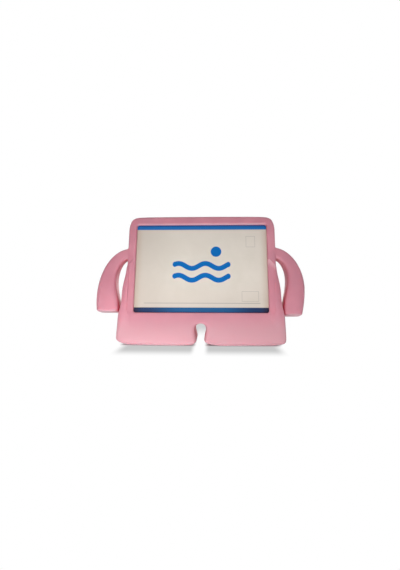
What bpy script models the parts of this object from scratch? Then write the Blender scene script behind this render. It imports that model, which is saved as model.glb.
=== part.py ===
"""Soft foam case for a ten-inch tablet, with two arms as handles and two legs to stand on.

The case is one moulding. It stands on its soles at z = 0 and faces -Y, and its screen leans back.
A folded, printed display card stands in the pocket where the tablet goes.
Lengths are in metres. The origin is on the ground, under the middle of the case. Points are given
from the foot of the pocket's leaning middle plane: x across, v up that plane and w in front of it.
"""

from math import copysign, cos, hypot, pi, radians, sin

import bmesh
import bpy
from mathutils import Vector

# The tablet that the pocket is made for, held with its long side level
TABLET_WIDTH = 0.2506
TABLET_HEIGHT = 0.1741
TABLET_THICKNESS = 0.0075
TABLET_CORNER = 0.0090

# The pocket and the lip that holds the tablet in
RECLINE = radians(13.0)
POCKET_CLEARANCE = 0.0005
POCKET_PLAY = 0.0006
POCKET_FLOOR = 0.0475
LIP_OVERLAP = 0.0050
LIP_THICKNESS = 0.0060
LIP_ROUNDING = 0.0030
LIP_LAND = 0.0002
WINDOW_CORNER = 0.0042

# The walls round the pocket
SIDE_WALL = 0.0095
TOP_WALL = 0.0104
TOP_BOW = 0.0007
BACK_WALL = 0.0080
FRAME_CORNER = 0.0200
FRAME_SOFTNESS = 0.0075

# The lower half: it swells forward and flares out below the shoulders, down to the soles
SHOULDER_HEIGHT = 0.1500
SHOULDER_RAMP = 0.0045
SHOULDER_SWELL = 0.0085
SHOULDER_SLANT = 0.90
SHOULDER_REST = 0.0250
SHOULDER_CREASE = 0.0035
SIDE_FALL = 0.0060
WAIST_HEIGHT = 0.0900
WAIST_FLARE = 0.0064
HIP_TOP = 0.0720
HIP_HEIGHT = 0.0400
HIP_FLARE = 0.0128
SOLE_FLARE = 0.0122
SOLE_FRONT = 0.0290
SOLE_BOW = 0.0110
SOLE_BACK = 0.0480
SOLE_TURN_UP = 0.0030
LEG_CURVE = 1.4
LEG_SOFTNESS = 0.0130
LEG_SIDE_SOFTNESS = 0.0175
WAIST_SOFTNESS = 0.0110

# The gap between the legs, widest under its round top
CROTCH_HEIGHT = 0.0320
CROTCH_DOME = 0.0050
CROTCH_WIDTH = 0.0200
CROTCH_NECK = 0.0102
CROTCH_SOFTNESS = 0.0190
CROTCH_TURN_UP = 0.0045
CROTCH_FULL_SHARE = 0.9

# The arms: each leaves the frame's side, bends down and ends in a flat hand
ARM_SEAT = 0.0045
ARM_ROOT_DEPTH = 0.0185
HAND_DEPTH = 0.0350
HAND_ROUNDING = 0.0050
ARM_FULLNESS = 4.0
ARM_BEND_SHARE = 0.62
ARM_DEEP_SHARE = 0.87
LEFT_ARM = {
    "name": "left_arm",
    "side": -1,
    "root_top": 0.1714,
    "root_bottom": 0.1520,
    "elbow_height": 0.0824,
    "armpit_height": 0.1120,
    "reach": 0.0566,
    "armpit_reach": 0.0226,
    "hand_height": 0.0542,
    "hand_width": 0.0402,
    "hand_tuck": 0.0015,
    "swing": radians(0.0),
    "twist": radians(0.0),
}
RIGHT_ARM = {
    "name": "right_arm",
    "side": 1,
    "root_top": 0.1735,
    "root_bottom": 0.1530,
    "elbow_height": 0.0995,
    "armpit_height": 0.1180,
    "reach": 0.0556,
    "armpit_reach": 0.0250,
    "hand_height": 0.0492,
    "hand_width": 0.0351,
    "hand_tuck": 0.0060,
    "swing": radians(12.0),
    "twist": radians(14.0),
}

# Openings that the tablet is reached through
CAMERA_HOLE_RADIUS = 0.0085
CAMERA_INSET = 0.0165
CHARGING_SLOT_HEIGHT = 0.0200
CHARGING_SLOT_ROUNDING = 0.0030

# The display card: a folded sheet of the tablet's size
CARD_THICKNESS = 0.0010
CARD_SEAT_GAP = 0.0003
CARD_BAND = 0.0140
CARD_BAND_DROP = 0.0022

# How finely the shapes are cut
BODY_SMOOTHING = 1
LEG_ROW_SHARES = (0.0, 0.42, 0.68, 1.0)
LIP_COLUMN_SHARE = 0.55
WINDOW_ROW_DROP = 0.0150
CORNER_STEPS = 4
ROUNDING_STEPS = 3
MOUTH_TURN = radians(60.0)
MOUTH_RUN = 4
HOLE_STEPS = 20
ARM_STATIONS = 11
ARM_SIDES = 16

# Where the walls lie, worked out from the tablet
POCKET_HALF_WIDTH = TABLET_WIDTH / 2 + POCKET_CLEARANCE
POCKET_TOP = POCKET_FLOOR + TABLET_HEIGHT + 2 * POCKET_CLEARANCE
POCKET_HALF_DEPTH = (TABLET_THICKNESS + POCKET_PLAY) / 2
FRAME_HALF_WIDTH = POCKET_HALF_WIDTH + SIDE_WALL
FRAME_TOP = POCKET_TOP + TOP_WALL
FRAME_FRONT = POCKET_HALF_DEPTH + LIP_THICKNESS
FRAME_BACK = POCKET_HALF_DEPTH + BACK_WALL
WINDOW_HALF_WIDTH = TABLET_WIDTH / 2 - LIP_OVERLAP
WINDOW_BOTTOM = POCKET_FLOOR + POCKET_CLEARANCE + LIP_OVERLAP
WINDOW_TOP = POCKET_TOP - POCKET_CLEARANCE - LIP_OVERLAP
LIP_FOOT = WINDOW_BOTTOM - LIP_ROUNDING - LIP_LAND
LIP_EDGE = WINDOW_HALF_WIDTH + LIP_ROUNDING + LIP_LAND


def lean(x, v, w):
    """The point at x across, v up the leaning middle plane and w in front of it."""
    return Vector((x, v * sin(RECLINE) - w * cos(RECLINE), v * cos(RECLINE) + w * sin(RECLINE)))


def ease(share):
    """A share that leaves 0 and reaches 1 without a corner."""
    share = min(max(share, 0.0), 1.0)
    return share * share * (3 - 2 * share)


def make_material(name, colour, roughness):
    material = bpy.data.materials.new(name)
    material.use_nodes = True
    shader = material.node_tree.nodes["Principled BSDF"]
    shader.inputs["Base Color"].default_value = (*colour, 1.0)
    shader.inputs["Roughness"].default_value = roughness
    shader.inputs["Metallic"].default_value = 0.0
    return material


def place_plane_foot():
    """Put the plane's foot where the whole case is centred, front to back, on the origin."""
    foot = bpy.data.objects.new("plane_foot", None)
    bpy.context.scene.collection.objects.link(foot)
    foot.location.y = (SOLE_FRONT - lean(0, FRAME_TOP, -FRAME_BACK).y) / 2


def make_object(name, mesh):
    piece = bpy.data.objects.new(name, mesh)
    bpy.context.scene.collection.objects.link(piece)
    piece.parent = bpy.data.objects["plane_foot"]
    return piece


def make_guide(name, mesh):
    guide = make_object(name, mesh)
    guide.hide_render = True
    guide.display_type = "WIRE"
    return guide


def combine(piece, guide, operation):
    boolean = piece.modifiers.new(guide.name, "BOOLEAN")
    boolean.object = guide
    boolean.operation = operation
    boolean.solver = "EXACT"


def finish_mesh(name, bm):
    bmesh.ops.recalc_face_normals(bm, faces=bm.faces)
    mesh = bpy.data.meshes.new(name)
    bm.to_mesh(mesh)
    bm.free()
    return mesh


def loft(name, loops):
    """A closed tube through loops of equal length, with a flat cap at each end."""
    bm = bmesh.new()
    rings = [[bm.verts.new(point) for point in loop] for loop in loops]
    for ring, following in zip(rings, rings[1:]):
        for k in range(len(ring)):
            after = (k + 1) % len(ring)
            bm.faces.new((ring[k], ring[after], following[after], following[k]))
    bm.faces.new(rings[0])
    bm.faces.new(rings[-1])
    return finish_mesh(name, bm)


def rounded_rectangle(half_width, bottom, top, radius):
    """Points (x, v) round a rectangle whose corners are arcs."""
    corners = (
        (half_width - radius, top - radius, 0.0),
        (radius - half_width, top - radius, pi / 2),
        (radius - half_width, bottom + radius, pi),
        (half_width - radius, bottom + radius, 1.5 * pi),
    )
    points = []
    for x, v, start in corners:
        for step in range(CORNER_STEPS + 1):
            angle = start + step / CORNER_STEPS * pi / 2
            points.append((x + radius * cos(angle), v + radius * sin(angle)))
    return points


def mouth(radius):
    """Pairs of widening and height up a soft edge, which runs out just above the face at height 0."""
    pairs = []
    for step in range(ROUNDING_STEPS + 1):
        angle = MOUTH_TURN * step / ROUNDING_STEPS
        pairs.append((radius * (1 - cos(angle)), radius * (sin(angle) - 1)))
    widening, height = pairs[-1]
    run = -MOUTH_RUN * height / cos(MOUTH_TURN)
    pairs.append((widening + run * sin(MOUTH_TURN), height + run * cos(MOUTH_TURN)))
    return pairs


# The body is a lattice of cells, smoothed: columns across, rows up and layers from front to back


def leg_share(z):
    return (z / (LIP_FOOT * cos(RECLINE))) ** LEG_CURVE


def leg_front(z):
    lip = lean(0, LIP_FOOT, FRAME_FRONT)
    return -SOLE_FRONT + (SOLE_FRONT + lip.y) * leg_share(z)


def leg_back(z):
    back = lean(0, LIP_FOOT, -FRAME_BACK)
    return SOLE_BACK - (SOLE_BACK - back.y) * leg_share(z)


def half_width(height):
    """Half the body's width at a height up the frame, or above the ground for the legs."""
    if height < HIP_HEIGHT:
        return FRAME_HALF_WIDTH + SOLE_FLARE + (HIP_FLARE - SOLE_FLARE) * height / HIP_HEIGHT
    shoulder_foot = SHOULDER_HEIGHT - SHOULDER_RAMP
    waist = ease((shoulder_foot - height) / (shoulder_foot - WAIST_HEIGHT))
    hip = ease((HIP_TOP - height) / (HIP_TOP - HIP_HEIGHT))
    return FRAME_HALF_WIDTH + WAIST_FLARE * waist + (HIP_FLARE - WAIST_FLARE) * hip


def crotch_half_width(z):
    """Half the gap between the legs, which opens from its neck on the ground to its round top."""
    opened = ease(z / (CROTCH_FULL_SHARE * CROTCH_HEIGHT))
    return (CROTCH_NECK + (CROTCH_WIDTH - CROTCH_NECK) * opened) / 2


def side_softness(height):
    """How wide the rounding of the body's sides is, from the frame down to the legs."""
    if height > SHOULDER_HEIGHT:
        return FRAME_SOFTNESS
    hip = ease((HIP_TOP - height) / (HIP_TOP - HIP_HEIGHT))
    return WAIST_SOFTNESS + (LEG_SIDE_SOFTNESS - WAIST_SOFTNESS) * hip


def column_places(height):
    half = half_width(height)
    crotch = crotch_half_width(min(height, CROTCH_HEIGHT))
    softness = side_softness(height)
    flat = (LIP_COLUMN_SHARE * LIP_EDGE, FRAME_HALF_WIDTH - FRAME_CORNER)
    right = [crotch, crotch + CROTCH_SOFTNESS, *flat, LIP_EDGE, half - softness, half]
    return [-x for x in reversed(right)] + [0.0] + right


def round_corner(x, v):
    """Bend the square top corners of the frame to arcs."""
    across = (abs(x) - FRAME_HALF_WIDTH + FRAME_CORNER) / FRAME_CORNER
    up = (v - FRAME_TOP + FRAME_CORNER) / FRAME_CORNER
    if across <= 0 or up <= 0:
        return x, v
    share = max(across, up) / hypot(across, up)
    x_arc = FRAME_HALF_WIDTH - FRAME_CORNER + FRAME_CORNER * across * share
    return (x_arc if x > 0 else -x_arc), FRAME_TOP - FRAME_CORNER + FRAME_CORNER * up * share


def shoulder_share(v):
    """1 at the shoulder, falling to 0 at the waist below it and at the row above it."""
    if v > SHOULDER_HEIGHT:
        return max(1 - (v - SHOULDER_HEIGHT) / SHOULDER_REST, 0.0)
    return ease((v - WAIST_HEIGHT) / (SHOULDER_HEIGHT - SHOULDER_RAMP - WAIST_HEIGHT))


def frame_row(v):
    """Four layers of points across the frame at v, from the front to the back."""
    swell = SHOULDER_SWELL * ease((SHOULDER_HEIGHT - v) / SHOULDER_RAMP)
    slant = SHOULDER_SLANT * shoulder_share(v)
    bow = TOP_BOW * ease((v - WINDOW_TOP) / (FRAME_TOP - WINDOW_TOP))
    columns = column_places(v)
    layers = []
    for w, swells in (
        (FRAME_FRONT, True),
        (FRAME_FRONT - FRAME_SOFTNESS, True),
        (FRAME_SOFTNESS - FRAME_BACK, False),
        (-FRAME_BACK, False),
    ):
        layer = []
        for x in columns:
            rise = swell if swells and abs(x) > LIP_EDGE else 0.0
            if w == FRAME_FRONT and abs(x) == columns[-1]:
                rise -= SIDE_FALL * swell / SHOULDER_SWELL
            drop = slant * max(abs(x) - LIP_EDGE, 0.0)
            x_round, v_round = round_corner(x, v)
            dip = bow * (x_round / FRAME_HALF_WIDTH) ** 2
            layer.append(lean(x_round, v_round - dip - drop, w + rise))
        layers.append(layer)
    return layers


def leg_row(z):
    """Four layers of points across the legs at z, from the front to the back."""
    front = leg_front(z)
    back = leg_back(z)
    columns = column_places(z)
    middle = len(columns) // 2
    layers = []
    dome = CROTCH_DOME if z == CROTCH_HEIGHT else 0.0
    bow = SOLE_BOW * (1 - leg_share(z))
    for y, bows in (
        (front, True),
        (front + LEG_SOFTNESS, True),
        (back - LEG_SOFTNESS, False),
        (back, False),
    ):
        layer = []
        for x in columns:
            behind = bow * (x / columns[-1]) ** 2 if bows else 0.0
            height = z + (0.0 if x else dome)
            if z == 0 and abs(x) == columns[-1]:
                height = SOLE_TURN_UP
            if z == 0 and abs(x) == columns[middle + 1]:
                height = CROTCH_TURN_UP
            layer.append(Vector((x, y + behind, height)))
        layers.append(layer)
    return layers


def body_mesh():
    """The skin of the lattice, without the cells between the legs."""
    leg_heights = [share * CROTCH_HEIGHT for share in LEG_ROW_SHARES]
    frame_heights = [
        LIP_FOOT,
        (LIP_FOOT + HIP_TOP) / 2,
        HIP_TOP,
        WAIST_HEIGHT,
        (2 * WAIST_HEIGHT + SHOULDER_HEIGHT) / 3,
        (WAIST_HEIGHT + 2 * SHOULDER_HEIGHT) / 3,
        SHOULDER_HEIGHT - SHOULDER_RAMP - SHOULDER_CREASE,
        SHOULDER_HEIGHT - SHOULDER_RAMP,
        SHOULDER_HEIGHT,
        SHOULDER_HEIGHT + SHOULDER_CREASE,
        SHOULDER_HEIGHT + SHOULDER_REST,
        WINDOW_TOP - WINDOW_ROW_DROP,
        FRAME_TOP - FRAME_CORNER,
        FRAME_TOP - FRAME_SOFTNESS,
        FRAME_TOP,
    ]
    rows = [leg_row(z) for z in leg_heights] + [frame_row(v) for v in frame_heights]
    crotch_rows = len(leg_heights) - 1
    middle = len(rows[0][0]) // 2
    bm = bmesh.new()
    corners = {}

    def filled(column, row, layer):
        inside = 0 <= column < 2 * middle and 0 <= row < len(rows) - 1 and 0 <= layer < 3
        return inside and not (column in (middle - 1, middle) and row < crotch_rows)

    def corner(column, row, layer):
        key = (column, row, layer)
        if key not in corners:
            corners[key] = bm.verts.new(rows[row][layer][column])
        return corners[key]

    steps = (
        ((1, 0, 0), (0, 1, 0), (0, 0, 1)),
        ((0, 1, 0), (0, 0, 1), (1, 0, 0)),
        ((0, 0, 1), (1, 0, 0), (0, 1, 0)),
    )
    for column in range(2 * middle):
        for row in range(len(rows) - 1):
            for layer in range(3):
                if not filled(column, row, layer):
                    continue
                for out, along, up in steps:
                    for far in (0, 1):
                        shift = 1 if far else -1
                        if filled(column + shift * out[0], row + shift * out[1], layer + shift * out[2]):
                            continue
                        face = []
                        for a, u in ((0, 0), (1, 0), (1, 1), (0, 1)):
                            face.append(corner(*(
                                base + far * o + a * s + u * t
                                for base, o, s, t in zip((column, row, layer), out, along, up)
                            )))
                        bm.faces.new(face)
    return finish_mesh("case_body", bm)


def arm_station(arm, share):
    """An arm's outer and inner edge (s, v) at a share of its length, s outward from the root."""
    end = arm["hand_height"] + HAND_ROUNDING
    turn = pi / 2 * (1 - min(share / ARM_BEND_SHARE, 1.0))
    down = max(share - ARM_BEND_SHARE, 0.0) / (1 - ARM_BEND_SHARE)
    outer_s = arm["reach"] * cos(turn) - arm["hand_tuck"] * down ** 2
    outer_v = arm["elbow_height"] + (arm["root_top"] - arm["elbow_height"]) * sin(turn)
    outer_v += (end - arm["elbow_height"]) * down
    palm = arm["reach"] - arm["hand_tuck"] - arm["hand_width"]
    inner_s = arm["armpit_reach"] * cos(turn) + (palm - arm["armpit_reach"]) * ease(down)
    inner_v = arm["armpit_height"] + (arm["root_bottom"] - arm["armpit_height"]) * sin(turn)
    inner_v += (end - arm["armpit_height"]) * down
    return (outer_s, outer_v), (inner_s, inner_v)


def arm_loop(arm, share, inset=0.0, drop=0.0):
    """The arm's section at a share of its length: a soft rectangle, turned by the twist and swing."""
    (outer_s, outer_v), (inner_s, inner_v) = arm_station(arm, share)
    half_s = (outer_s - inner_s) / 2
    half_v = (outer_v - inner_v) / 2
    half = hypot(half_s, half_v)
    depth = (ARM_ROOT_DEPTH + (HAND_DEPTH - ARM_ROOT_DEPTH) * ease(share / ARM_DEEP_SHARE)) / 2
    twist = arm["twist"] * ease(share)
    loop = []
    for k in range(ARM_SIDES):
        angle = 2 * pi * (k + 0.5) / ARM_SIDES
        across = copysign((half - inset) * abs(cos(angle)) ** (2 / ARM_FULLNESS), cos(angle))
        forward = copysign((depth - inset) * abs(sin(angle)) ** (2 / ARM_FULLNESS), sin(angle))
        turned = across * cos(twist) - forward * sin(twist)
        w = across * sin(twist) + forward * cos(twist)
        s = (outer_s + inner_s) / 2 + turned * half_s / half
        v = (outer_v + inner_v) / 2 + turned * half_v / half - drop
        x = s * cos(arm["swing"]) + w * sin(arm["swing"]) + FRAME_HALF_WIDTH - ARM_SEAT
        loop.append(lean(arm["side"] * x, v, w * cos(arm["swing"]) - s * sin(arm["swing"])))
    return loop


def arm_mesh(arm):
    loops = [arm_loop(arm, station / ARM_STATIONS) for station in range(ARM_STATIONS + 1)]
    for step in range(1, ROUNDING_STEPS + 1):
        angle = step / ROUNDING_STEPS * pi / 2
        loops.append(arm_loop(arm, 1.0, HAND_ROUNDING * (1 - cos(angle)), HAND_ROUNDING * sin(angle)))
    return loft(arm["name"], loops)


def pocket_mesh():
    outline = rounded_rectangle(
        POCKET_HALF_WIDTH, POCKET_FLOOR, POCKET_TOP, TABLET_CORNER + POCKET_CLEARANCE
    )
    loops = [[lean(x, v, w) for x, v in outline] for w in (-POCKET_HALF_DEPTH, POCKET_HALF_DEPTH)]
    return loft("pocket", loops)


def window_mesh():
    """The window through the lip, with a soft rim, out past the front of the swelling sides."""
    pairs = [(0.0, -FRAME_FRONT)] + mouth(LIP_ROUNDING)
    pairs.append((pairs[-1][0], FRAME_FRONT))
    loops = []
    for widening, height in pairs:
        outline = rounded_rectangle(
            WINDOW_HALF_WIDTH + widening,
            WINDOW_BOTTOM - widening,
            WINDOW_TOP + widening,
            WINDOW_CORNER + widening,
        )
        loops.append([lean(x, v, FRAME_FRONT + height) for x, v in outline])
    return loft("window", loops)


def camera_hole_mesh():
    x = CAMERA_INSET - TABLET_WIDTH / 2
    v = POCKET_TOP - CAMERA_INSET
    pairs = [(0.0, -FRAME_BACK)] + mouth(LIP_ROUNDING)
    loops = []
    for widening, height in pairs:
        radius = CAMERA_HOLE_RADIUS + widening
        turns = [2 * pi * k / HOLE_STEPS for k in range(HOLE_STEPS)]
        loops.append([
            lean(x + radius * cos(turn), v + radius * sin(turn), -FRAME_BACK - height) for turn in turns
        ])
    return loft("camera_hole", loops)


def charging_slot_mesh():
    """A slot through the side wall, as deep as the pocket, in the middle of the tablet's short side."""
    middle = (POCKET_FLOOR + POCKET_TOP) / 2
    outline = rounded_rectangle(
        POCKET_HALF_DEPTH,
        middle - CHARGING_SLOT_HEIGHT / 2,
        middle + CHARGING_SLOT_HEIGHT / 2,
        CHARGING_SLOT_ROUNDING,
    )
    inner = POCKET_HALF_WIDTH - LIP_OVERLAP / 2
    outer = FRAME_HALF_WIDTH + HIP_FLARE
    return loft("charging_slot", [[lean(x, v, w) for w, v in outline] for x in (inner, outer)])


def make_case():
    case = make_object("case_body", body_mesh())
    smoothing = case.modifiers.new("soft_edges", "SUBSURF")
    smoothing.levels = BODY_SMOOTHING
    smoothing.render_levels = BODY_SMOOTHING
    for arm in (LEFT_ARM, RIGHT_ARM):
        combine(case, make_guide(arm["name"], arm_mesh(arm)), "UNION")
    for mesh in (pocket_mesh(), window_mesh(), camera_hole_mesh(), charging_slot_mesh()):
        combine(case, make_guide(mesh.name, mesh), "DIFFERENCE")
    case.data.materials.append(make_material("pink_foam", (0.680, 0.285, 0.350), 0.60))
    case.data.shade_smooth()


def card_rows():
    """Rows (half width, v, w) up the folded sheet, from the back of its lower flap to its top."""
    bottom = POCKET_FLOOR + CARD_SEAT_GAP
    front = TABLET_THICKNESS / 2
    back = CARD_SEAT_GAP - POCKET_HALF_DEPTH
    straight = TABLET_WIDTH / 2 - TABLET_CORNER
    rows = [(straight, 0.0, back)]
    for step in range(CORNER_STEPS + 1):
        angle = step / CORNER_STEPS * pi / 2
        up = TABLET_CORNER * (1 - cos(angle))
        slope = CARD_BAND_DROP * (1 - up / CARD_BAND)
        rows.append((straight + TABLET_CORNER * sin(angle), up, front - slope))
    rows.append((TABLET_WIDTH / 2, CARD_BAND, front))
    upper = [(half, TABLET_HEIGHT - up, w) for half, up, w in reversed(rows)]
    return [(half, bottom + up, w) for half, up, w in rows + upper]


def make_card():
    bm = bmesh.new()
    rows = []
    for half, v, w in card_rows():
        rows.append([bm.verts.new(lean(x, v, w)) for x in (-half, half)])
    for (left, right), (upper_left, upper_right) in zip(rows, rows[1:]):
        bm.faces.new((left, right, upper_right, upper_left))
    mesh = bpy.data.meshes.new("display_card")
    bm.to_mesh(mesh)
    bm.free()
    card = make_object("display_card", mesh)
    board = card.modifiers.new("board", "SOLIDIFY")
    board.thickness = CARD_THICKNESS
    board.offset = -1.0
    board.use_even_offset = True
    card.data.materials.append(make_material("printed_card", (0.730, 0.690, 0.630), 0.55))


for old in list(bpy.data.objects):
    bpy.data.objects.remove(old)
place_plane_foot()
make_case()
make_card()
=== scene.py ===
"""The soft foam tablet case and its display card, dressed for the studio.

Lengths are in metres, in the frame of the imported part: the case stands on z = 0 and faces -Y. The
shapes are those of the part, cut more finely. Points are given from the foot of the pocket's leaning
middle plane: x across, v up that plane and w in front of it.
"""

from math import copysign, cos, hypot, pi, radians, sin

import bmesh
import bpy
from mathutils import Matrix, Vector
from mathutils.kdtree import KDTree


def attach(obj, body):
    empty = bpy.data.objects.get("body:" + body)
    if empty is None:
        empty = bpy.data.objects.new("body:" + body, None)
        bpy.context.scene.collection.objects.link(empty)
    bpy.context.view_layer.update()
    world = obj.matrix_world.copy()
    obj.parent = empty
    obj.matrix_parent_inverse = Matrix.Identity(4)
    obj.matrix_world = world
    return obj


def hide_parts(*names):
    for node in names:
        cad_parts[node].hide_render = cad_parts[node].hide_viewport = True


# The tablet that the pocket is made for, held with its long side level
TABLET_WIDTH = 0.2506
TABLET_HEIGHT = 0.1741
TABLET_THICKNESS = 0.0075
TABLET_CORNER = 0.0090

# The pocket and the lip that holds the tablet in
RECLINE = radians(13.0)
POCKET_CLEARANCE = 0.0005
POCKET_PLAY = 0.0006
POCKET_FLOOR = 0.0475
LIP_OVERLAP = 0.0050
LIP_THICKNESS = 0.0060
LIP_ROUNDING = 0.0030
LIP_LAND = 0.0002
WINDOW_CORNER = 0.0042

# The walls round the pocket
SIDE_WALL = 0.0095
TOP_WALL = 0.0104
TOP_BOW = 0.0007
BACK_WALL = 0.0080
FRAME_CORNER = 0.0200
FRAME_SOFTNESS = 0.0075

# The lower half: it swells forward and flares out below the shoulders, down to the soles
SHOULDER_HEIGHT = 0.1500
SHOULDER_RAMP = 0.0045
SHOULDER_SWELL = 0.0085
SHOULDER_SLANT = 0.90
SHOULDER_REST = 0.0250
SHOULDER_CREASE = 0.0035
SIDE_FALL = 0.0060
WAIST_HEIGHT = 0.0900
WAIST_FLARE = 0.0064
HIP_TOP = 0.0720
HIP_HEIGHT = 0.0400
HIP_FLARE = 0.0128
SOLE_FLARE = 0.0122
SOLE_FRONT = 0.0290
SOLE_BOW = 0.0110
SOLE_BACK = 0.0480
LEG_CURVE = 1.4
LEG_SOFTNESS = 0.0130
LEG_SIDE_SOFTNESS = 0.0175
WAIST_SOFTNESS = 0.0110

# The gap between the legs, widest under its round top
CROTCH_HEIGHT = 0.0320
CROTCH_DOME = 0.0050
CROTCH_WIDTH = 0.0200
CROTCH_NECK = 0.0102
CROTCH_SOFTNESS = 0.0190
CROTCH_FULL_SHARE = 0.9

# The arms: each leaves the frame's side, bends down and ends in a flat hand
ARM_SEAT = 0.0045
ARM_ROOT_DEPTH = 0.0185
HAND_DEPTH = 0.0350
HAND_ROUNDING = 0.0050
ARM_FULLNESS = 4.0
ARM_BEND_SHARE = 0.62
ARM_DEEP_SHARE = 0.87
LEFT_ARM = {
    "name": "left_arm",
    "side": -1,
    "root_top": 0.1714,
    "root_bottom": 0.1520,
    "elbow_height": 0.0824,
    "armpit_height": 0.1120,
    "reach": 0.0566,
    "armpit_reach": 0.0226,
    "hand_height": 0.0542,
    "hand_width": 0.0402,
    "hand_tuck": 0.0015,
    "swing": radians(0.0),
    "twist": radians(0.0),
}
RIGHT_ARM = {
    "name": "right_arm",
    "side": 1,
    "root_top": 0.1735,
    "root_bottom": 0.1530,
    "elbow_height": 0.0995,
    "armpit_height": 0.1180,
    "reach": 0.0556,
    "armpit_reach": 0.0250,
    "hand_height": 0.0492,
    "hand_width": 0.0351,
    "hand_tuck": 0.0060,
    "swing": radians(12.0),
    "twist": radians(14.0),
}

# Openings that the tablet is reached through
CAMERA_HOLE_RADIUS = 0.0085
CAMERA_INSET = 0.0165
CHARGING_SLOT_HEIGHT = 0.0200
CHARGING_SLOT_ROUNDING = 0.0030

# The display card: a folded sheet of the tablet's size
CARD_THICKNESS = 0.0010
CARD_SEAT_GAP = 0.0003
CARD_BAND = 0.0140
CARD_BAND_DROP = 0.0022

# How finely the shapes are cut
BODY_SMOOTHING = 3
LEG_ROW_SHARES = (0.0, 0.42, 0.68, 1.0)
LIP_COLUMN_SHARE = 0.55
WINDOW_ROW_DROP = 0.0150
CORNER_STEPS = 12
ROUNDING_STEPS = 8
MOUTH_TURN = radians(60.0)
MOUTH_RUN = 12
HOLE_STEPS = 64
ARM_STATIONS = 44
ARM_SIDES = 56

# Where the walls lie, worked out from the tablet
POCKET_HALF_WIDTH = TABLET_WIDTH / 2 + POCKET_CLEARANCE
POCKET_TOP = POCKET_FLOOR + TABLET_HEIGHT + 2 * POCKET_CLEARANCE
POCKET_HALF_DEPTH = (TABLET_THICKNESS + POCKET_PLAY) / 2
FRAME_HALF_WIDTH = POCKET_HALF_WIDTH + SIDE_WALL
FRAME_TOP = POCKET_TOP + TOP_WALL
FRAME_FRONT = POCKET_HALF_DEPTH + LIP_THICKNESS
FRAME_BACK = POCKET_HALF_DEPTH + BACK_WALL
WINDOW_HALF_WIDTH = TABLET_WIDTH / 2 - LIP_OVERLAP
WINDOW_BOTTOM = POCKET_FLOOR + POCKET_CLEARANCE + LIP_OVERLAP
WINDOW_TOP = POCKET_TOP - POCKET_CLEARANCE - LIP_OVERLAP
LIP_FOOT = WINDOW_BOTTOM - LIP_ROUNDING - LIP_LAND
LIP_EDGE = WINDOW_HALF_WIDTH + LIP_ROUNDING + LIP_LAND

# Where the leaning plane meets the ground, with the case centred from front to back
PLANE_FOOT_Y = (SOLE_FRONT - FRAME_TOP * sin(RECLINE) - FRAME_BACK * cos(RECLINE)) / 2

# The finer shape of the foam: the share of the sides' swell that reaches the window's rim, how far each
# leg's outer and inner corner turns up, and how the crease at an arm's root is eased
RIM_SWELL = 0.40
LEFT_TURN_UPS = (0.0062, 0.0032)
RIGHT_TURN_UPS = (0.0014, 0.0056)
SHARP_ANGLE = radians(42.0)
CREASE_TURN = radians(25.0)
CREASE_REACH = 0.0045
CREASE_PULL = 0.5
CREASE_ROUNDS = 6
ARM_ROOT_ASIDE = 0.1200
ARM_ROOT_HEIGHTS = (0.1300, 0.1900)

# The finer shape of the card, whose sheet is laid out flat for its print
CARD_CORNER_STEPS = 12
CARD_COLUMNS = 24
CARD_FACE_STEPS = 16
CARD_FOLD = 0.0012
CARD_FOLD_SHARES = (0.35, 0.7)
CARD_DISH = 0.0004
UV_SCALE = 4.0

# The foam's colours, from 0 to 255, and where each one lies. The pale tint low down and the paler
# undersides are painted light, and the deep colour in hollows is painted shade. A noise is given by its
# scale, detail and roughness, and a bump by its strength and distance.
FOAM_LIGHT = (215, 143, 158)
FOAM_DARK = (207, 135, 151)
FOAM_CLOUDS = (14.0, 3.0, 0.55)
FOAM_CLOUD_RANGE = (0.35, 0.65)
FOAM_PORE = (186, 112, 128)
FOAM_SPECKS = (1400.0, 2.0, 0.6)
FOAM_SPECK_RANGE = (0.55, 0.75)
FOAM_SPECK_SHARE = 0.16
# Painted light: the lowest part of the feet is paler
FOAM_LOW_PAINTED_LIGHT = (216, 160, 170)
FOAM_LOW_PAINTED_LIGHT_RANGE = (0.015, 0.060)
# Painted light: faces that turn downwards are paler
FOAM_UNDERSIDE_PAINTED_LIGHT = (238, 192, 202)
FOAM_UNDERSIDE_PAINTED_LIGHT_RANGE = (-0.80, -0.12)
FOAM_UNDERSIDE_PAINTED_LIGHT_SHARE = 0.75
# Painted shade: the colour goes deeper and darker in hollows, by ambient occlusion
FOAM_HOLLOW_PAINTED_SHADE = (204, 72, 90)
FOAM_HOLLOW_SHADE_REACH = 0.030
FOAM_HOLLOW_SHADE_RANGE = (0.20, 0.84)
FOAM_HOLLOW_SHADE_SAMPLES = 8

# The painted highlight on the ledge of the right shoulder, as pale as the painted light on the undersides.
# It fades in between the first two of four marks and out between the last two, both up the case and across
# it.
LEDGE_HEIGHT = 0.1480
LEDGE_RANGE = (-0.0150, -0.0030, -0.0010, 0.0015)
LEDGE_ASIDE = (0.1160, 0.1190, 0.1370, 0.1410)
LEDGE_FACING = (-0.60, -0.10)
LEDGE_HIGHLIGHT_SHARE = 0.55

# The foam's skin
FOAM_ROUGHNESS = 0.46
FOAM_ROUGHNESS_SPREAD = 0.10
FOAM_SPECULAR = 0.42
FOAM_PORE_SCALE = 1100.0
FOAM_PORE_RADIUS = 0.45
FOAM_PORE_DEPTH = 0.35
FOAM_GRAIN = (700.0, 4.0, 0.6)
FOAM_GRAIN_BUMP = (0.22, 0.00025)
FOAM_WAVINESS = (32.0, 1.0, 0.4)
FOAM_WAVINESS_BUMP = (0.20, 0.0006)
FOAM_SUBSURFACE = 0.25
FOAM_SUBSURFACE_COLOURS = (1.0, 0.30, 0.36)
FOAM_SUBSURFACE_DEPTH = 0.004
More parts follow.
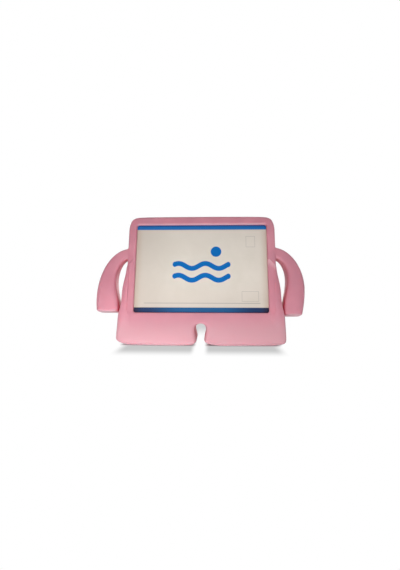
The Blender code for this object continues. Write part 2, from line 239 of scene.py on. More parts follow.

# The card's stock and where its tints lie; the tints are painted shade
CARD_LIGHT = (231, 223, 212)
CARD_DARK = (226, 218, 206)
CARD_CLOUDS = (30.0, 3.0, 0.6)
CARD_CLOUD_RANGE = (0.3, 0.7)
# Painted shade: the stock is darker towards the top
CARD_TOP_SHADE = (226, 218, 207)
CARD_TOP_SHADE_RANGE = (0.13, 0.205)
CARD_TOP_SHADE_SHARE = 0.55
CARD_FIBRE = (200, 190, 175)
CARD_FIBRES = (900.0, 3.0, 0.7)
CARD_FIBRE_RANGE = (0.55, 0.8)
CARD_FIBRE_SHARE = 0.10
# Painted shade: the stock is dimmer at the left and at the foot
CARD_PAINTED_SHADE = (204, 194, 183)
CARD_PAINTED_SHADE_ASIDE = (-0.115, -0.030)
CARD_PAINTED_SHADE_ASIDE_SHARE = 0.60
CARD_PAINTED_SHADE_LOW = (0.060, 0.120)
CARD_PAINTED_SHADE_LOW_SHARE = 0.55
# Painted shade: the stock darkens along the window's rim, under the lip
CARD_RIM_SHADE = (196, 178, 160)
CARD_RIM_SHADE_REACH = 0.0150
CARD_RIM_SHADE_SHARE = 0.55
CARD_ROUGHNESS = 0.52
CARD_SPECULAR = 0.14
CARD_BUMP = (0.12, 0.00012)
WINDOW_MIDDLE = (0.0, (WINDOW_BOTTOM + WINDOW_TOP) / 2)
WINDOW_HALF = (WINDOW_HALF_WIDTH, (WINDOW_TOP - WINDOW_BOTTOM) / 2)

# The print: a sun over two waves, a band at the top and at the foot, two empty boxes and a thin rule. The
# bands carry painted shade under the lips.
PRINT_BLUE = (4, 107, 186)
PRINT_SOFTNESS = 0.0004
INK_GLOSS = 0.12
INK_RELIEF = 0.15
SUN = (0.0270, 0.1660)
SUN_RADIUS = 0.0098
WAVE_HEIGHTS = (0.1390, 0.1170)
WAVE_SPAN = (-0.0480, 0.0490)
WAVE_PERIOD = 0.0490
WAVE_PHASE = 0.6
WAVE_RISE = 0.0046
WAVE_HALF_WEIGHT = 0.0046
TOP_BAND_EDGE = 0.2086
TOP_BLUE = (34, 118, 194)
# Painted shade: the top band goes deeper just under the top lip
TOP_BLUE_SHADE = (48, 84, 146)
TOP_BLUE_SHADE_RISE = 0.0055
BOTTOM_BAND_EDGE = 0.0625
# The foot band's print blue, darkened by painted shade under the bottom lip, deepest towards its sides and
# ends
BOTTOM_BLUE_SHADED = (12, 86, 140)
BOTTOM_BLUE_SHADED_SIDE = (4, 42, 88)
BOTTOM_BLUE_SHADED_SIDE_RANGE = (0.030, 0.105)
BOTTOM_BLUE_SHADED_END = (26, 26, 60)
BOTTOM_BLUE_SHADED_END_RANGE = (0.104, 0.118)
LINE_GREY = (120, 116, 112)
LINE_SOFTNESS = 0.0003
BOXES = (
    ((0.0904, 0.1851), (0.0081, 0.0102)),
    ((0.0882, 0.0827), (0.0148, 0.0089)),
)
BOX_LINE_HALF = 0.00022
BOX_LINE_SHARE = 0.60
RULE_CENTRE = (0.0016, 0.0704)
RULE_HALF = (0.1041, 0.0004)
RULE_SHARE = 0.72

# The camera, as fitted to a picture of this size in pixels, with the sensor in millimetres
PICTURE_WIDTH = 400
PICTURE_HEIGHT = 570
FOCAL_PIXELS = 340.9
CENTRE_PIXEL = (201.4, 277.5)
SENSOR = 36.0
CAMERA_PLACE = (0.0221, -0.6129, 0.1259)
CAMERA_TURN = radians(2.0)
CAMERA_DIP = radians(1.0)

# The studio. The floor keeps the case's own shadow within FLOOR_SHADE_HALF of its middle. Past that it
# is white with two soft painted shadows, which are painted as lit through the gap between the legs.
WORLD_LIGHT = 0.110
FLOOR_RADIUS = 12.0
FLOOR_SIDES = 96
FLOOR_GAP = 0.0002
FLOOR_TONE = 0.85
FLOOR_SEEN = 0.90
FLOOR_ROUGHNESS = 0.9
FLOOR_SHADE_HALF = (0.1280, 0.0300)
FLOOR_LIT = (0.0, 0.014)
FRONT_START = (-0.113, -0.062)
FRONT_ASIDE = (0.120, 0.140)
FRONT_SHADE = 0.42
GAP_LIT = (0.006, 0.016)
BEHIND_START = (0.030, 0.170)
BEHIND_END = (0.190, 0.330)
BEHIND_ASIDE = (0.015, 0.080)
BEHIND_SHADE = 0.36

# The lamps: name, place, aim, sides, watts and spread in degrees
LAMPS = (
    ("front", (-0.40, -1.12, 0.15), (0.0, 0.0, 0.10), (0.40, 0.40), 1.3, 180.0),
    ("right", (0.60, -1.00, 0.15), (0.10, 0.0, 0.08), (0.30, 0.30), 2.6, 180.0),
    ("low_left", (-0.13, -0.21, 0.010), (-0.10, 0.0, 0.02), (0.30, 0.03), 0.155, 170.0),
    ("low_front", (-0.10, -0.50, 0.015), (0.0, 0.0, 0.10), (0.60, 0.03), 0.86, 180.0),
    ("floor_wash", (-0.05, -0.50, 0.80), (-0.05, -0.40, 0.0), (0.60, 0.40), 0.90, 70.0),
    ("back", (0.30, 1.00, 0.34), (0.0, 0.0, 0.10), (0.80, 0.50), 5.2, 180.0),
)


def lean(x, v, w):
    """The point at x across, v up the leaning middle plane and w in front of it."""
    return Vector((x, v * sin(RECLINE) - w * cos(RECLINE), v * cos(RECLINE) + w * sin(RECLINE)))


def ease(share):
    """A share that leaves 0 and reaches 1 without a corner."""
    share = min(max(share, 0.0), 1.0)
    return share * share * (3 - 2 * share)


def finish_mesh(name, bm):
    bmesh.ops.recalc_face_normals(bm, faces=bm.faces)
    mesh = bpy.data.meshes.new(name)
    bm.to_mesh(mesh)
    bm.free()
    return mesh


def loft(name, loops):
    """A closed tube through loops of equal length, with a flat cap at each end."""
    bm = bmesh.new()
    rings = [[bm.verts.new(point) for point in loop] for loop in loops]
    for ring, following in zip(rings, rings[1:]):
        for k in range(len(ring)):
            after = (k + 1) % len(ring)
            bm.faces.new((ring[k], ring[after], following[after], following[k]))
    bm.faces.new(rings[0])
    bm.faces.new(rings[-1])
    return finish_mesh(name, bm)


def rounded_rectangle(half_width, bottom, top, radius):
    """Points (x, v) round a rectangle whose corners are arcs."""
    corners = (
        (half_width - radius, top - radius, 0.0),
        (radius - half_width, top - radius, pi / 2),
        (radius - half_width, bottom + radius, pi),
        (half_width - radius, bottom + radius, 1.5 * pi),
    )
    points = []
    for x, v, start in corners:
        for step in range(CORNER_STEPS + 1):
            angle = start + step / CORNER_STEPS * pi / 2
            points.append((x + radius * cos(angle), v + radius * sin(angle)))
    return points


def mouth(radius):
    """Pairs of widening and height up a soft edge, which runs out just above the face at height 0."""
    pairs = []
    for step in range(ROUNDING_STEPS + 1):
        angle = MOUTH_TURN * step / ROUNDING_STEPS
        pairs.append((radius * (1 - cos(angle)), radius * (sin(angle) - 1)))
    widening, height = pairs[-1]
    run = -MOUTH_RUN * height / cos(MOUTH_TURN)
    pairs.append((widening + run * sin(MOUTH_TURN), height + run * cos(MOUTH_TURN)))
    return pairs


# The body is a lattice of cells, smoothed: columns across, rows up and layers from front to back


def leg_share(z):
    return (z / (LIP_FOOT * cos(RECLINE))) ** LEG_CURVE


def leg_front(z):
    lip = lean(0, LIP_FOOT, FRAME_FRONT)
    return -SOLE_FRONT + (SOLE_FRONT + lip.y) * leg_share(z)


def leg_back(z):
    back = lean(0, LIP_FOOT, -FRAME_BACK)
    return SOLE_BACK - (SOLE_BACK - back.y) * leg_share(z)


def half_width(height):
    """Half the body's width at a height up the frame, or above the ground for the legs."""
    if height < HIP_HEIGHT:
        return FRAME_HALF_WIDTH + SOLE_FLARE + (HIP_FLARE - SOLE_FLARE) * height / HIP_HEIGHT
    shoulder_foot = SHOULDER_HEIGHT - SHOULDER_RAMP
    waist = ease((shoulder_foot - height) / (shoulder_foot - WAIST_HEIGHT))
    hip = ease((HIP_TOP - height) / (HIP_TOP - HIP_HEIGHT))
    return FRAME_HALF_WIDTH + WAIST_FLARE * waist + (HIP_FLARE - WAIST_FLARE) * hip


def crotch_half_width(z):
    """Half the gap between the legs, which opens from its neck on the ground to its round top."""
    opened = ease(z / (CROTCH_FULL_SHARE * CROTCH_HEIGHT))
    return (CROTCH_NECK + (CROTCH_WIDTH - CROTCH_NECK) * opened) / 2


def side_softness(height):
    """How wide the rounding of the body's sides is, from the frame down to the legs."""
    if height > SHOULDER_HEIGHT:
        return FRAME_SOFTNESS
    hip = ease((HIP_TOP - height) / (HIP_TOP - HIP_HEIGHT))
    return WAIST_SOFTNESS + (LEG_SIDE_SOFTNESS - WAIST_SOFTNESS) * hip


def column_places(height):
    half = half_width(height)
    crotch = crotch_half_width(min(height, CROTCH_HEIGHT))
    softness = side_softness(height)
    flat = (LIP_COLUMN_SHARE * LIP_EDGE, FRAME_HALF_WIDTH - FRAME_CORNER)
    right = [crotch, crotch + CROTCH_SOFTNESS, *flat, LIP_EDGE, half - softness, half]
    return [-x for x in reversed(right)] + [0.0] + right


def round_corner(x, v):
    """Bend the square top corners of the frame to arcs."""
    across = (abs(x) - FRAME_HALF_WIDTH + FRAME_CORNER) / FRAME_CORNER
    up = (v - FRAME_TOP + FRAME_CORNER) / FRAME_CORNER
    if across <= 0 or up <= 0:
        return x, v
    share = max(across, up) / hypot(across, up)
    x_arc = FRAME_HALF_WIDTH - FRAME_CORNER + FRAME_CORNER * across * share
    return (x_arc if x > 0 else -x_arc), FRAME_TOP - FRAME_CORNER + FRAME_CORNER * up * share


def shoulder_share(v):
    """1 at the shoulder, falling to 0 at the waist below it and at the row above it."""
    if v > SHOULDER_HEIGHT:
        return max(1 - (v - SHOULDER_HEIGHT) / SHOULDER_REST, 0.0)
    return ease((v - WAIST_HEIGHT) / (SHOULDER_HEIGHT - SHOULDER_RAMP - WAIST_HEIGHT))


def frame_row(v):
    """Four layers of points across the frame at v, from the front to the back."""
    swell = SHOULDER_SWELL * ease((SHOULDER_HEIGHT - v) / SHOULDER_RAMP)
    slant = SHOULDER_SLANT * shoulder_share(v)
    bow = TOP_BOW * ease((v - WINDOW_TOP) / (FRAME_TOP - WINDOW_TOP))
    rim_reach = RIM_SWELL * ease((v - LIP_FOOT) / (WAIST_HEIGHT - LIP_FOOT))
    columns = column_places(v)
    layers = []
    for w, swells in (
        (FRAME_FRONT, True),
        (FRAME_FRONT - FRAME_SOFTNESS, True),
        (FRAME_SOFTNESS - FRAME_BACK, False),
        (-FRAME_BACK, False),
    ):
        layer = []
        for x in columns:
            reach = rim_reach if abs(x) == LIP_EDGE else 1.0
            rise = swell * reach if swells and abs(x) >= LIP_EDGE else 0.0
            if w == FRAME_FRONT and abs(x) == columns[-1]:
                rise -= SIDE_FALL * swell / SHOULDER_SWELL
            drop = slant * max(abs(x) - LIP_EDGE, 0.0)
            x_round, v_round = round_corner(x, v)
            dip = bow * (x_round / FRAME_HALF_WIDTH) ** 2
            layer.append(lean(x_round, v_round - dip - drop, w + rise))
        layers.append(layer)
    return layers


def leg_row(z):
    """Four layers of points across the legs at z, from the front to the back."""
    front = leg_front(z)
    back = leg_back(z)
    columns = column_places(z)
    middle = len(columns) // 2
    layers = []
    dome = CROTCH_DOME if z == CROTCH_HEIGHT else 0.0
    bow = SOLE_BOW * (1 - leg_share(z))
    for y, bows in (
        (front, True),
        (front + LEG_SOFTNESS, True),
        (back - LEG_SOFTNESS, False),
        (back, False),
    ):
        layer = []
        for x in columns:
            behind = bow * (x / columns[-1]) ** 2 if bows else 0.0
            height = z + (0.0 if x else dome)
            outer_turn_up, inner_turn_up = RIGHT_TURN_UPS if x > 0 else LEFT_TURN_UPS
            if z == 0 and abs(x) == columns[-1]:
                height = outer_turn_up
            if z == 0 and abs(x) == columns[middle + 1]:
                height = inner_turn_up
            layer.append(Vector((x, y + behind, height)))
        layers.append(layer)
    return layers


def body_mesh():
    """The skin of the lattice, without the cells between the legs."""
    leg_heights = [share * CROTCH_HEIGHT for share in LEG_ROW_SHARES]
    frame_heights = [
        LIP_FOOT,
        (LIP_FOOT + HIP_TOP) / 2,
        HIP_TOP,
        WAIST_HEIGHT,
        (2 * WAIST_HEIGHT + SHOULDER_HEIGHT) / 3,
        (WAIST_HEIGHT + 2 * SHOULDER_HEIGHT) / 3,
        SHOULDER_HEIGHT - SHOULDER_RAMP - SHOULDER_CREASE,
        SHOULDER_HEIGHT - SHOULDER_RAMP,
        SHOULDER_HEIGHT,
        SHOULDER_HEIGHT + SHOULDER_CREASE,
        SHOULDER_HEIGHT + SHOULDER_REST,
        WINDOW_TOP - WINDOW_ROW_DROP,
        FRAME_TOP - FRAME_CORNER,
        FRAME_TOP - FRAME_SOFTNESS,
        FRAME_TOP,
    ]
    rows = [leg_row(z) for z in leg_heights] + [frame_row(v) for v in frame_heights]
    crotch_rows = len(leg_heights) - 1
    middle = len(rows[0][0]) // 2
    bm = bmesh.new()
    corners = {}

    def filled(column, row, layer):
        inside = 0 <= column < 2 * middle and 0 <= row < len(rows) - 1 and 0 <= layer < 3
        return inside and not (column in (middle - 1, middle) and row < crotch_rows)

    def corner(column, row, layer):
        key = (column, row, layer)
        if key not in corners:
            corners[key] = bm.verts.new(rows[row][layer][column])
        return corners[key]

    steps = (
        ((1, 0, 0), (0, 1, 0), (0, 0, 1)),
        ((0, 1, 0), (0, 0, 1), (1, 0, 0)),
        ((0, 0, 1), (1, 0, 0), (0, 1, 0)),
    )
    for column in range(2 * middle):
        for row in range(len(rows) - 1):
            for layer in range(3):
                if not filled(column, row, layer):
                    continue
                for out, along, up in steps:
                    for far in (0, 1):
                        shift = 1 if far else -1
                        if filled(column + shift * out[0], row + shift * out[1], layer + shift * out[2]):
                            continue
                        face = []
                        for a, u in ((0, 0), (1, 0), (1, 1), (0, 1)):
                            face.append(corner(*(
                                base + far * o + a * s + u * t
                                for base, o, s, t in zip((column, row, layer), out, along, up)
                            )))
                        bm.faces.new(face)
    return finish_mesh("case_body", bm)


def arm_station(arm, share):
    """An arm's outer and inner edge (s, v) at a share of its length, s outward from the root."""
    end = arm["hand_height"] + HAND_ROUNDING
    turn = pi / 2 * (1 - min(share / ARM_BEND_SHARE, 1.0))
    down = max(share - ARM_BEND_SHARE, 0.0) / (1 - ARM_BEND_SHARE)
    outer_s = arm["reach"] * cos(turn) - arm["hand_tuck"] * down ** 2
    outer_v = arm["elbow_height"] + (arm["root_top"] - arm["elbow_height"]) * sin(turn)
    outer_v += (end - arm["elbow_height"]) * down
    palm = arm["reach"] - arm["hand_tuck"] - arm["hand_width"]
    inner_s = arm["armpit_reach"] * cos(turn) + (palm - arm["armpit_reach"]) * ease(down)
    inner_v = arm["armpit_height"] + (arm["root_bottom"] - arm["armpit_height"]) * sin(turn)
    inner_v += (end - arm["armpit_height"]) * down
    return (outer_s, outer_v), (inner_s, inner_v)


def arm_loop(arm, share, inset=0.0, drop=0.0):
    """The arm's section at a share of its length: a soft rectangle, turned by the twist and swing."""
    (outer_s, outer_v), (inner_s, inner_v) = arm_station(arm, share)
    half_s = (outer_s - inner_s) / 2
    half_v = (outer_v - inner_v) / 2
    half = hypot(half_s, half_v)
    depth = (ARM_ROOT_DEPTH + (HAND_DEPTH - ARM_ROOT_DEPTH) * ease(share / ARM_DEEP_SHARE)) / 2
    twist = arm["twist"] * ease(share)
    loop = []
    for k in range(ARM_SIDES):
        angle = 2 * pi * (k + 0.5) / ARM_SIDES
        across = copysign((half - inset) * abs(cos(angle)) ** (2 / ARM_FULLNESS), cos(angle))
        forward = copysign((depth - inset) * abs(sin(angle)) ** (2 / ARM_FULLNESS), sin(angle))
        turned = across * cos(twist) - forward * sin(twist)
        w = across * sin(twist) + forward * cos(twist)
        s = (outer_s + inner_s) / 2 + turned * half_s / half
        v = (outer_v + inner_v) / 2 + turned * half_v / half - drop
        x = s * cos(arm["swing"]) + w * sin(arm["swing"]) + FRAME_HALF_WIDTH - ARM_SEAT
        loop.append(lean(arm["side"] * x, v, w * cos(arm["swing"]) - s * sin(arm["swing"])))
    return loop


def arm_mesh(arm):
    loops = [arm_loop(arm, station / ARM_STATIONS) for station in range(ARM_STATIONS + 1)]
    for step in range(1, ROUNDING_STEPS + 1):
        angle = step / ROUNDING_STEPS * pi / 2
        loops.append(arm_loop(arm, 1.0, HAND_ROUNDING * (1 - cos(angle)), HAND_ROUNDING * sin(angle)))
    return loft(arm["name"], loops)


def pocket_mesh():
    outline = rounded_rectangle(
        POCKET_HALF_WIDTH, POCKET_FLOOR, POCKET_TOP, TABLET_CORNER + POCKET_CLEARANCE
    )
    loops = [[lean(x, v, w) for x, v in outline] for w in (-POCKET_HALF_DEPTH, POCKET_HALF_DEPTH)]
    return loft("pocket", loops)


def window_mesh():
    """The window through the lip, with a soft rim, out past the front of the swelling sides."""
    pairs = [(0.0, -FRAME_FRONT)] + mouth(LIP_ROUNDING)
    pairs.append((pairs[-1][0], FRAME_FRONT))
    loops = []
    for widening, height in pairs:
        outline = rounded_rectangle(
            WINDOW_HALF_WIDTH + widening,
            WINDOW_BOTTOM - widening,
            WINDOW_TOP + widening,
            WINDOW_CORNER + widening,
        )
        loops.append([lean(x, v, FRAME_FRONT + height) for x, v in outline])
    return loft("window", loops)


def camera_hole_mesh():
    x = CAMERA_INSET - TABLET_WIDTH / 2
    v = POCKET_TOP - CAMERA_INSET
    pairs = [(0.0, -FRAME_BACK)] + mouth(LIP_ROUNDING)
    loops = []
    for widening, height in pairs:
        radius = CAMERA_HOLE_RADIUS + widening
        turns = [2 * pi * k / HOLE_STEPS for k in range(HOLE_STEPS)]
        loops.append([
            lean(x + radius * cos(turn), v + radius * sin(turn), -FRAME_BACK - height) for turn in turns
        ])
    return loft("camera_hole", loops)


def charging_slot_mesh():
    """A slot through the side wall, as deep as the pocket, in the middle of the tablet's short side."""
    middle = (POCKET_FLOOR + POCKET_TOP) / 2
    outline = rounded_rectangle(
        POCKET_HALF_DEPTH,
        middle - CHARGING_SLOT_HEIGHT / 2,
        middle + CHARGING_SLOT_HEIGHT / 2,
        CHARGING_SLOT_ROUNDING,
    )
    inner = POCKET_HALF_WIDTH - LIP_OVERLAP / 2
    outer = FRAME_HALF_WIDTH + HIP_FLARE
    return loft("charging_slot", [[lean(x, v, w) for w, v in outline] for x in (inner, outer)])


# The mesh work


def evaluated(piece, name):
    """The piece's mesh after its modifiers, as a mesh of its own."""
    graph = bpy.context.evaluated_depsgraph_get()
    mesh = bpy.data.meshes.new_from_object(piece.evaluated_get(graph), depsgraph=graph)
    mesh.name = name
    return mesh


def add_object(name, mesh):
    piece = bpy.data.objects.new(name, mesh)
    bpy.context.scene.collection.objects.link(piece)
    return piece


def add_combine(piece, guide, operation):
    boolean = piece.modifiers.new(guide.name, "BOOLEAN")
    boolean.object = guide
    boolean.operation = operation
    boolean.solver = "EXACT"


def cut_case():
    """The case's mesh: the smoothed lattice with its arms joined on and its openings cut."""
    block = add_object("block", body_mesh())
    smoothing = block.modifiers.new("soft_edges", "SUBSURF")
    smoothing.levels = BODY_SMOOTHING
    guides = []
    for arm in (LEFT_ARM, RIGHT_ARM):
        guides.append(add_object(arm["name"], arm_mesh(arm)))
        add_combine(block, guides[-1], "UNION")
    for mesh in (pocket_mesh(), window_mesh(), camera_hole_mesh(), charging_slot_mesh()):
        guides.append(add_object(mesh.name, mesh))
        add_combine(block, guides[-1], "DIFFERENCE")
    mesh = evaluated(block, "case")
    for old in [block] + guides:
        bpy.data.objects.remove(old)
    return mesh


def soften_arm_roots(mesh):
    """Ease the crease where each arm leaves the frame into a small hollow."""
    bm = bmesh.new()
    bm.from_mesh(mesh)
    low, high = ARM_ROOT_HEIGHTS
    crease = []
    for edge in bm.edges:
        if len(edge.link_faces) == 2 and edge.calc_face_angle_signed() < -CREASE_TURN:
            middle = (edge.verts[0].co + edge.verts[1].co) / 2
            if abs(middle.x) > ARM_ROOT_ASIDE and low < middle.z < high:
                crease.extend((edge.verts[0].co.copy(), edge.verts[1].co.copy()))
    tree = KDTree(len(crease))
    for index, point in enumerate(crease):
        tree.insert(point, index)
    tree.balance()
    near = []
    if crease:
        for vert in bm.verts:
            distance = tree.find(vert.co)[2]
            if distance < CREASE_REACH:
                near.append((vert, (1 - distance / CREASE_REACH) * CREASE_PULL))
    for _ in range(CREASE_ROUNDS):
        moved = []
        for vert, pull in near:
            ring = [edge.other_vert(vert).co for edge in vert.link_edges]
            mean = sum(ring, Vector()) / len(ring)
            moved.append(vert.co.lerp(mean, pull))
        for (vert, _), place in zip(near, moved):
            vert.co = place
    bm.to_mesh(mesh)
    bm.free()


def finished_piece(name, mesh, material):
    """A piece from a mesh that is moved to the part's frame, shaded smooth and given its material."""
    mesh.transform(Matrix.Translation((0, PLANE_FOOT_Y, 0)))
    mesh.shade_smooth()
    mesh.set_sharp_from_angle(angle=SHARP_ANGLE)
    mesh.materials.clear()
    mesh.materials.append(material)
    return add_object(name, mesh)


def make_case(material):
    mesh = cut_case()
    soften_arm_roots(mesh)
    case = finished_piece("case", mesh, material)
    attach(case, "root")
    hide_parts("case_body")
    return case


def card_profile():
    """Rows (half width, v, w) up the folded sheet, with rounded folds between its faces."""
    bottom = POCKET_FLOOR + CARD_SEAT_GAP
    front = TABLET_THICKNESS / 2
    back = CARD_SEAT_GAP - POCKET_HALF_DEPTH
    side = TABLET_WIDTH / 2
    straight = side - TABLET_CORNER
    rows = [(straight, 0.0, back), (straight, 0.0, 0.0)]
    for step in range(CARD_CORNER_STEPS + 1):
        angle = step / CARD_CORNER_STEPS * pi / 2
        up = TABLET_CORNER * (1 - cos(angle))
        slope = CARD_BAND_DROP * (1 - up / CARD_BAND)
        rows.append((straight + TABLET_CORNER * sin(angle), up, front - slope))
    rows.append((side, CARD_BAND - CARD_FOLD, front - CARD_BAND_DROP * CARD_FOLD / CARD_BAND))
    for share in CARD_FOLD_SHARES:
        drop = CARD_BAND_DROP * CARD_FOLD / CARD_BAND * (1 - share) ** 2
        rows.append((side, CARD_BAND - CARD_FOLD * (1 - 2 * share), front - drop))
    rows.append((side, CARD_BAND + CARD_FOLD, front))
    upper = [(half, TABLET_HEIGHT - up, w) for half, up, w in reversed(rows)]
    span = upper[0][1] - rows[-1][1]
    face = []
    for step in range(1, CARD_FACE_STEPS):
        share = step / CARD_FACE_STEPS
        face.append((side, rows[-1][1] + span * share, front))
    return [(half, bottom + up, w) for half, up, w in rows + face + upper]


def card_dish(x, v):
    """How far the sheet sinks at a place, from 0 at its edges to 1 in its middle."""
    across = 1 - (2 * x / TABLET_WIDTH) ** 2
    low = POCKET_FLOOR + CARD_SEAT_GAP + CARD_BAND
    up = (v - low) / (TABLET_HEIGHT - 2 * CARD_BAND)
    return max(across, 0.0) * max(4 * up * (1 - up), 0.0)


def make_card(material):
    bm = bmesh.new()
    layer = bm.loops.layers.uv.new("sheet")
    rows = []
    places = {}
    for half, v, w in card_profile():
        row = []
        for step in range(CARD_COLUMNS + 1):
            x = half * (2 * step / CARD_COLUMNS - 1)
            vert = bm.verts.new(lean(x, v, w - CARD_DISH * card_dish(x, v)))
            places[vert] = (x, v)
            row.append(vert)
        rows.append(row)
    for row, above in zip(rows, rows[1:]):
        for k in range(CARD_COLUMNS):
            face = bm.faces.new((row[k], row[k + 1], above[k + 1], above[k]))
            for loop in face.loops:
                x, v = places[loop.vert]
                loop[layer].uv = (UV_SCALE * x, UV_SCALE * v)
    mesh = bpy.data.meshes.new("card_sheet")
    bm.to_mesh(mesh)
    bm.free()
    sheet = add_object("card_sheet", mesh)
    board = sheet.modifiers.new("board", "SOLIDIFY")
    board.thickness = CARD_THICKNESS
    board.offset = -1.0
    board.use_even_offset = True
    thick = evaluated(sheet, "card")
    bpy.data.objects.remove(sheet)
    card = finished_piece("card", thick, material)
    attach(card, "root")
    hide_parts("display_card")
    return card


# The materials, and the sockets of a Mix node that take its factor and colours and give the result

MIX_INPUTS = (0, 6, 7)
MIX_OUTPUT = 2


class Graph:
    """Short ways to add shader nodes to one material or world."""

    def __init__(self, tree):
        self.tree = tree

    def feed(self, socket, value):
        if isinstance(value, bpy.types.NodeSocket):
            self.tree.links.new(value, socket)
        else:
            socket.default_value = value

    def node(self, kind, settings=None, **values):
        made = self.tree.nodes.new(kind)
        for name, value in (settings or {}).items():
            setattr(made, name, value)
        for name, value in values.items():
            self.feed(made.inputs[name.replace("_", " ")], value)
        return made

    def feed_all(self, made, values):
        for socket, value in zip(made.inputs, values):
            self.feed(socket, value)
        return made.outputs

    def math(self, operation, *values, clamp=False):
        made = self.node("ShaderNodeMath", {"operation": operation, "use_clamp": clamp})
        return self.feed_all(made, values)[0]

    def vector(self, operation, *values):
        return self.feed_all(self.node("ShaderNodeVectorMath", {"operation": operation}), values)

    def product(self, first, *others):
        for other in others:
            first = self.math("MULTIPLY", first, other)
        return first

    def split(self, vector):
        return self.node("ShaderNodeSeparateXYZ", Vector=vector).outputs

    def mix(self, share, first, second):
        made = self.node("ShaderNodeMix", {"data_type": "RGBA"})
        for index, value in zip(MIX_INPUTS, (share, first, second)):
            self.feed(made.inputs[index], value)
        return made.outputs[MIX_OUTPUT]

    def noise(self, place, scale, detail, roughness):
        values = {"Vector": place, "Scale": scale, "Detail": detail, "Roughness": roughness}
        return self.node("ShaderNodeTexNoise", **values).outputs["Fac"]

    def bump(self, strength, distance, height, **under):
        made = self.node("ShaderNodeBump", Strength=strength, Distance=distance, Height=height, **under)
        return made.outputs[0]

    def stretch(self, value, low, high, out_low=0.0, out_high=1.0, smooth=True):
        """A value from out_low, where the given value is low, to out_high, where it is high."""
        made = self.node("ShaderNodeMapRange", {"interpolation_type": "SMOOTHSTEP" if smooth else "LINEAR"})
        return self.feed_all(made, (value, low, high, out_low, out_high))[0]

    def fade(self, value, marks):
        """1 between the middle two of four rising marks, and 0 outside the outer two."""
        start, full, last, end = marks
        return self.product(self.stretch(value, start, full), self.stretch(value, last, end, 1.0, 0.0))

    def inside(self, distance, softness):
        """1 where a signed distance is negative and 0 where it is positive."""
        return self.math("MULTIPLY_ADD", distance, -1 / softness, 0.5, clamp=True)


def linear(red, green, blue):
    """A colour written in the 0 to 255 of a picture, as the renderer wants it."""
    made = []
    for value in (red, green, blue):
        value /= 255
        made.append(value / 12.92 if value <= 0.04045 else ((value + 0.055) / 1.055) ** 2.4)
    return (*made, 1.0)


def grey(tone):
    return (tone, tone, tone, 1.0)


def new_material(name):
    material = bpy.data.materials.new(name)
    material.use_nodes = True
    shader = material.node_tree.nodes["Principled BSDF"]
    return material, Graph(material.node_tree), shader


def ledge_highlight(graph, across, height, facing):
    """How strong the painted highlight on the ledge of the right shoulder is, where it turns to the front.
    """
    beyond = graph.math("MAXIMUM", graph.math("SUBTRACT", across, LIP_EDGE), 0.0)
    top = graph.math("MULTIPLY_ADD", beyond, -SHOULDER_SLANT, LEDGE_HEIGHT)
    return graph.product(
        graph.fade(graph.math("SUBTRACT", height, top), LEDGE_RANGE),
        graph.fade(across, LEDGE_ASIDE),
        graph.stretch(facing, *LEDGE_FACING, LEDGE_HIGHLIGHT_SHARE, 0.0),
    )


def foam_colour(graph, place, clouds):
    """Faintly clouded pink, with painted light low down, on undersides and on the right shoulder's ledge,
    and painted shade in hollows.
    """
    across, _, height = graph.split(place)
    _, forward, upward = graph.split(graph.node("ShaderNodeNewGeometry").outputs["Normal"])
    colour = graph.mix(graph.stretch(clouds, *FOAM_CLOUD_RANGE), linear(*FOAM_DARK), linear(*FOAM_LIGHT))
    # Painted light: paler low down on the feet
    colour = graph.mix(graph.stretch(height, *FOAM_LOW_PAINTED_LIGHT_RANGE, 1.0, 0.0), colour, linear(*FOAM_LOW_PAINTED_LIGHT))
    # Painted light on the undersides, by how far the surface faces down
    under = graph.stretch(upward, *FOAM_UNDERSIDE_PAINTED_LIGHT_RANGE, FOAM_UNDERSIDE_PAINTED_LIGHT_SHARE, 0.0)
    # The painted highlight on the right shoulder's ledge
    under = graph.math("MAXIMUM", under, ledge_highlight(graph, across, height, forward))
    colour = graph.mix(under, colour, linear(*FOAM_UNDERSIDE_PAINTED_LIGHT))
    # Painted shade in hollows, where the ambient occlusion is low
    settings = {"samples": FOAM_HOLLOW_SHADE_SAMPLES, "only_local": True}
    hollow_shade = graph.node("ShaderNodeAmbientOcclusion", settings, Distance=FOAM_HOLLOW_SHADE_REACH)
    unshaded_share = graph.stretch(hollow_shade.outputs["AO"], *FOAM_HOLLOW_SHADE_RANGE)
    return graph.mix(unshaded_share, linear(*FOAM_HOLLOW_PAINTED_SHADE), colour)


